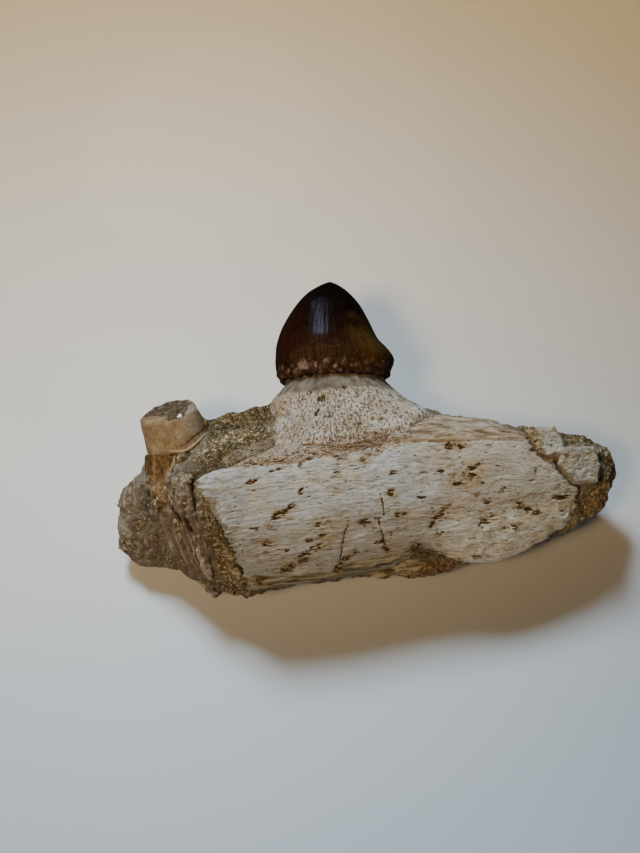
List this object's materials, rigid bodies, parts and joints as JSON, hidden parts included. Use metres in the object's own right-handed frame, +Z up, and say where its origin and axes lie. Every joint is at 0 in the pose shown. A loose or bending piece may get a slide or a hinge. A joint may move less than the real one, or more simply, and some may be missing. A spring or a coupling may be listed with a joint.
{
  "type": "fossil mosasaur jaw section",
  "caption": "Broken length of fossil mosasaur jaw in sandy matrix, lying on its side, with a dark bulbous tooth on a porous root and the stump of another tooth.",
  "frame": {"origin": "centre of the bounding box, at the height of the surface it lies on", "axes": "+X along the jaw, +Y the way the tooth points, +Z up from the surface it lies on"},
  "size_m": [0.1268, 0.0776, 0.0383],
  "materials": {
    "enamel": "glossy, finely striated fossil tooth enamel",
    "tooth_root": "matt, porous fossil tooth root",
    "dentine": "satin, smooth amber dentine with a rough break",
    "ochre_bone": "matt, iron-stained fossil bone",
    "jaw_bone": "matt, weathered fossil bone with a fine grain",
    "end_bone": "matt, splintered pinkish-grey fossil bone",
    "matrix": "rough, gritty sandy phosphate rock"
  },
  "bodies": {
    "root": {"tooth_crown": "enamel", "tooth_root": "tooth_root", "broken_tooth": "dentine", "broken_tooth_root": "ochre_bone", "upper_chip": "jaw_bone", "right_chip": "jaw_bone", "jaw_bone": "jaw_bone", "end_bone": "end_bone", "left_chip": "end_bone", "lump_chip": "end_bone", "matrix": "matrix"}
  },
  "joints": []
}
